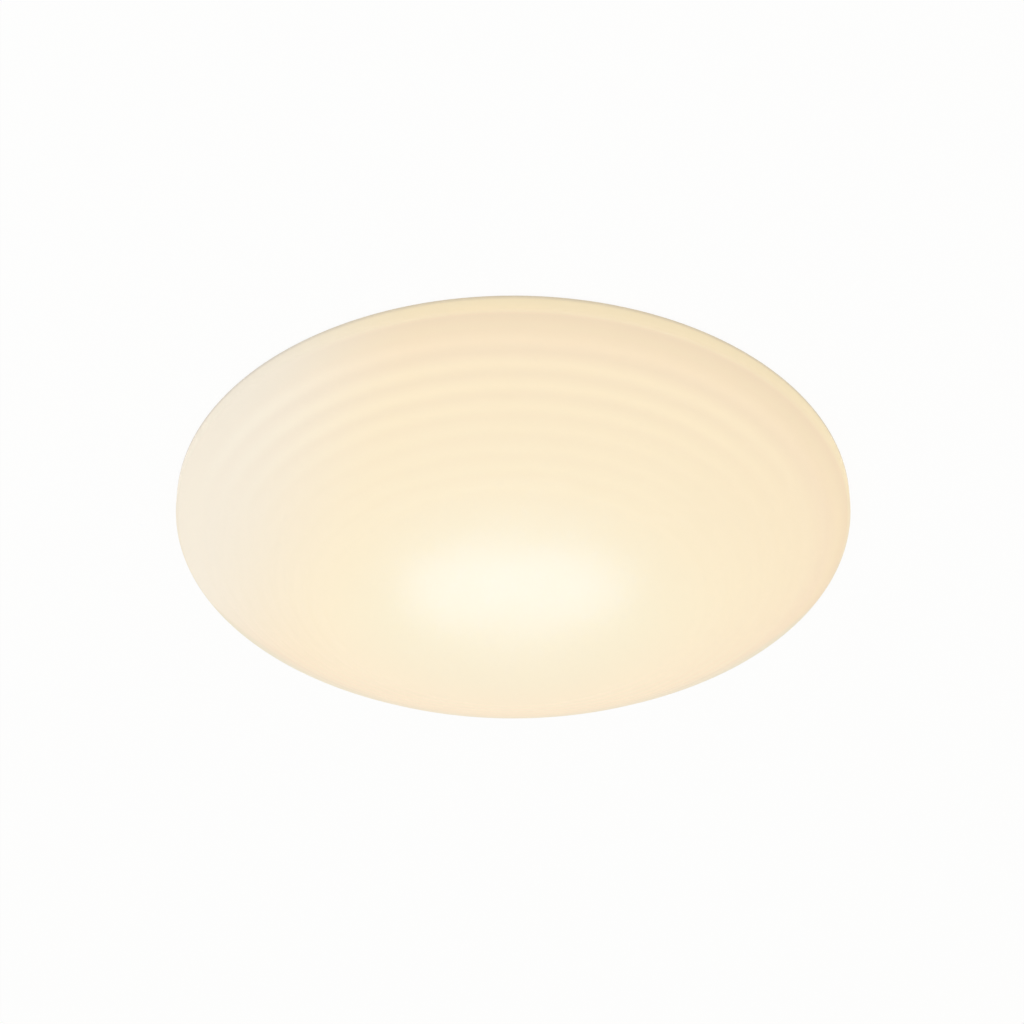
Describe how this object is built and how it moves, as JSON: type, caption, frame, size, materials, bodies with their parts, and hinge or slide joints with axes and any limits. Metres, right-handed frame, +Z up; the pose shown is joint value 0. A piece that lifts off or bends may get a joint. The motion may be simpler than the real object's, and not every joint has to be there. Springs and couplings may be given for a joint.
{
  "type": "flush mount ceiling light",
  "caption": "Low round flush mount ceiling light: a shallow rippled opal dome that twists off a steel pan with a driver and a light board inside.",
  "frame": {"origin": "centre of the ceiling plane, where the gasket and the pan's feet meet the ceiling", "axes": "+Z up into the ceiling, the dome hangs towards -Z, the supply terminal lies at +X"},
  "size_m": [0.4, 0.4, 0.0693],
  "materials": {
    "white_steel": "powder coated sheet steel",
    "foam": "closed-cell foam",
    "silicone": "soft silicone",
    "opal_shell": "satin opal, lit from inside",
    "black_rubber": "moulded rubber",
    "grey_nylon": "moulded nylon",
    "zinc_steel": "bright zinc plate",
    "light_polycarbonate": "moulded polycarbonate",
    "orange_nylon": "moulded nylon",
    "brass_plate": "brass plated",
    "tinned_copper": "tinned",
    "earth_sleeve": "green and yellow sleeve",
    "live_sleeve": "brown sleeve",
    "neutral_sleeve": "blue sleeve",
    "white_polycarbonate": "moulded polycarbonate",
    "green_laminate": "solder mask",
    "taped_ferrite": "ferrite with yellow tape",
    "sleeved_can": "shrunk sleeve",
    "grey_silicone": "filled silicone",
    "white_laminate": "white solder mask",
    "phosphor": "phosphor, lit",
    "ivory_nylon": "moulded nylon",
    "red_sleeve": "red sleeve",
    "black_sleeve": "black sleeve"
  },
  "bodies": {
    "fixture": {"ceiling_pan": "white_steel", "ceiling_gasket": "foam", "rim_seal": "silicone", "cable_grommet": "black_rubber", "clamp_saddle": "grey_nylon", "clamp_bar": "grey_nylon", "clamp_screws": "zinc_steel", "terminal_block": "light_polycarbonate", "terminal_screws": "zinc_steel", "earth_screw": "brass_plate", "earth_tag": "tinned_copper", "earth_lead": "earth_sleeve", "live_lead": "live_sleeve", "neutral_lead": "neutral_sleeve", "driver_base": "white_polycarbonate", "driver_cover": "white_polycarbonate", "driver_board": "green_laminate", "driver_transformer": "taped_ferrite", "driver_capacitors": "sleeved_can", "driver_screws": "zinc_steel", "tray_pillars": "zinc_steel", "gear_tray": "white_steel", "tray_screws": "zinc_steel", "tray_grommet": "black_rubber", "thermal_pad": "grey_silicone", "led_board": "white_laminate", "led_chips": "phosphor", "led_board_screws": "zinc_steel", "led_socket": "ivory_nylon", "led_plug": "ivory_nylon", "led_lead_positive": "red_sleeve", "led_lead_negative": "black_sleeve"},
    "dome": {"diffuser": "opal_shell"},
    "terminal_button_live": {"terminal_button_live": "orange_nylon"},
    "terminal_button_neutral": {"terminal_button_neutral": "orange_nylon"},
    "terminal_button_earth": {"terminal_button_earth": "orange_nylon"}
  },
  "joints": [
    {"name": "dome_twist", "type": "hinge", "parent": "fixture", "child": "dome", "pos_m": [0, 0, 0], "axis": [0, 0, 1], "range_deg": [-15, 0]},
    {"name": "terminal_button_live_press", "type": "slide", "parent": "fixture", "child": "terminal_button_live", "axis": [0, 0, 1], "range_m": [0, 0.0015], "stiffness_N_per_m": 300},
    {"name": "terminal_button_neutral_press", "type": "slide", "parent": "fixture", "child": "terminal_button_neutral", "axis": [0, 0, 1], "range_m": [0, 0.0015], "stiffness_N_per_m": 300},
    {"name": "terminal_button_earth_press", "type": "slide", "parent": "fixture", "child": "terminal_button_earth", "axis": [0, 0, 1], "range_m": [0, 0.0015], "stiffness_N_per_m": 300}
  ]
}
